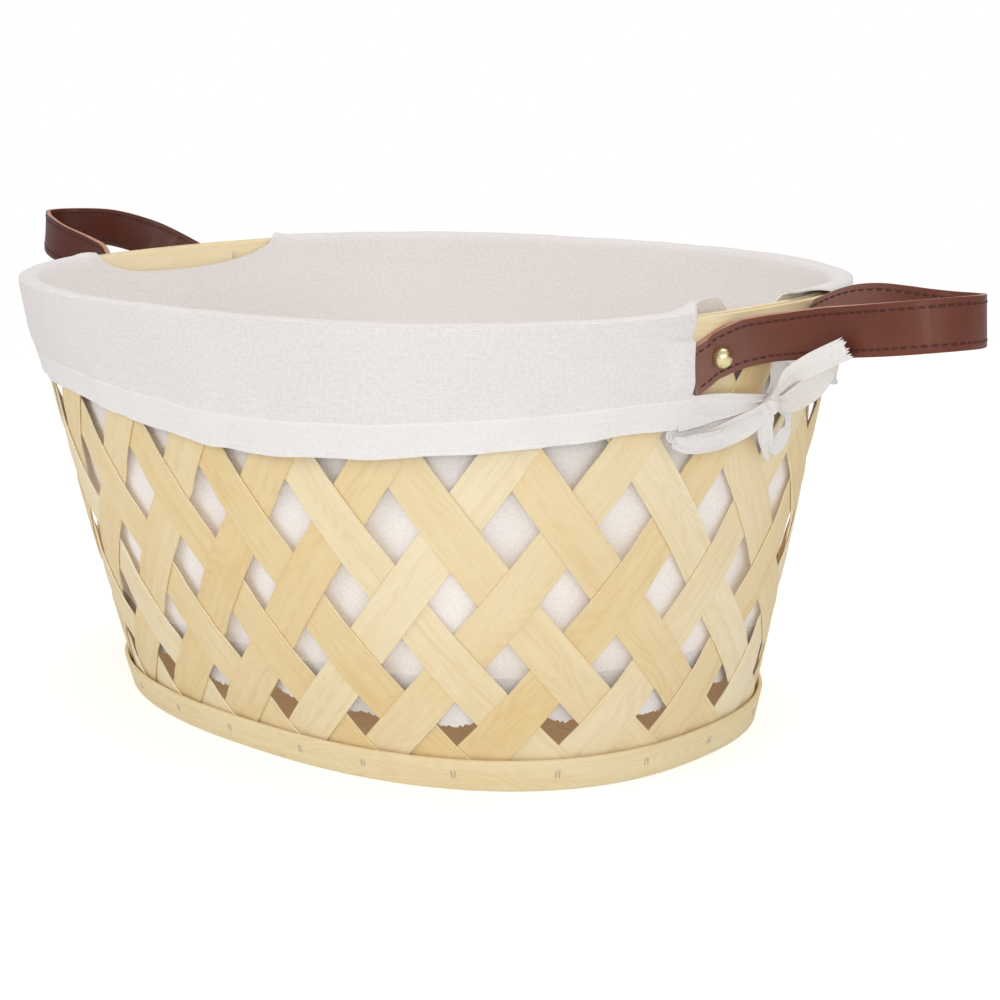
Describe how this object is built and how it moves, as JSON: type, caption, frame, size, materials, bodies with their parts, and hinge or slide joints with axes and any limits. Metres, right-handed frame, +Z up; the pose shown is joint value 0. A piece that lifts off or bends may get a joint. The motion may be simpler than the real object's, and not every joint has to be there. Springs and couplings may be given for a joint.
{
  "type": "laundry basket",
  "caption": "Oval woven wood laundry basket with a cloth liner turned down over its hooped rim, a flat base board and a riveted leather strap loop that tilts at each end.",
  "frame": {"origin": "on the floor, under the middle of the object", "axes": "+Z up; +X along the oval's length towards the right-hand loop handle; +Y across it, away from the side that the picture shows"},
  "size_m": [0.744, 0.413, 0.2789],
  "materials": {
    "splint_wood": "bare poplar-like veneer with fine straight grain along each strip, matt",
    "hoop_wood": "bare bent wood band with fine straight grain, matt",
    "board_wood": "bare board with broad flat grain, matt",
    "liner_cloth": "undyed plain-weave cotton and linen cloth with slubs, matt",
    "ribbon_cloth": "strips of the liner's cloth with frayed and pinked ends",
    "leather": "brown smooth leather, semi-gloss, pale cut edges, dark stitching",
    "rivet_brass": "polished domed cap",
    "staple_steel": "bright wire"
  },
  "bodies": {
    "basket": {"splint_right_leaning_01": "splint_wood", "splint_right_leaning_02": "splint_wood", "splint_right_leaning_03": "splint_wood", "splint_right_leaning_04": "splint_wood", "splint_right_leaning_05": "splint_wood", "splint_right_leaning_06": "splint_wood", "splint_right_leaning_07": "splint_wood", "splint_right_leaning_08": "splint_wood", "splint_right_leaning_09": "splint_wood", "splint_right_leaning_10": "splint_wood", "splint_right_leaning_11": "splint_wood", "splint_right_leaning_12": "splint_wood", "splint_right_leaning_13": "splint_wood", "splint_right_leaning_14": "splint_wood", "splint_right_leaning_15": "splint_wood", "splint_right_leaning_16": "splint_wood", "splint_right_leaning_17": "splint_wood", "splint_right_leaning_18": "splint_wood", "splint_right_leaning_19": "splint_wood", "splint_right_leaning_20": "splint_wood", "splint_right_leaning_21": "splint_wood", "splint_right_leaning_22": "splint_wood", "splint_left_leaning_01": "splint_wood", "splint_left_leaning_02": "splint_wood", "splint_left_leaning_03": "splint_wood", "splint_left_leaning_04": "splint_wood", "splint_left_leaning_05": "splint_wood", "splint_left_leaning_06": "splint_wood", "splint_left_leaning_07": "splint_wood", "splint_left_leaning_08": "splint_wood", "splint_left_leaning_09": "splint_wood", "splint_left_leaning_10": "splint_wood", "splint_left_leaning_11": "splint_wood", "splint_left_leaning_12": "splint_wood", "splint_left_leaning_13": "splint_wood", "splint_left_leaning_14": "splint_wood", "splint_left_leaning_15": "splint_wood", "splint_left_leaning_16": "splint_wood", "splint_left_leaning_17": "splint_wood", "splint_left_leaning_18": "splint_wood", "splint_left_leaning_19": "splint_wood", "splint_left_leaning_20": "splint_wood", "splint_left_leaning_21": "splint_wood", "splint_left_leaning_22": "splint_wood", "base_hoop": "hoop_wood", "rim_hoop_outer": "hoop_wood", "rim_hoop_inner": "hoop_wood", "base_board": "board_wood", "liner": "liner_cloth", "strap_tab_right_front": "leather", "strap_tab_right_rear": "leather", "strap_tab_left_front": "leather", "strap_tab_left_rear": "leather", "rivet_right_front": "rivet_brass", "rivet_right_rear": "rivet_brass", "rivet_left_front": "rivet_brass", "rivet_left_rear": "rivet_brass", "tie_bow_right": "ribbon_cloth"},
    "handle_right": {"handle_loop_right": "leather"},
    "handle_left": {"handle_loop_left": "leather"}
  },
  "joints": [
    {"name": "handle_right_tilt", "type": "hinge", "parent": "basket", "child": "handle_right", "pos_m": [0.26809, 0, 0.242], "axis": [0, -1, 0], "range_deg": [-45, 80]},
    {"name": "handle_left_tilt", "type": "hinge", "parent": "basket", "child": "handle_left", "pos_m": [-0.26809, 0, 0.242], "axis": [0, 1, 0], "range_deg": [-50.5, 74.5]}
  ]
}
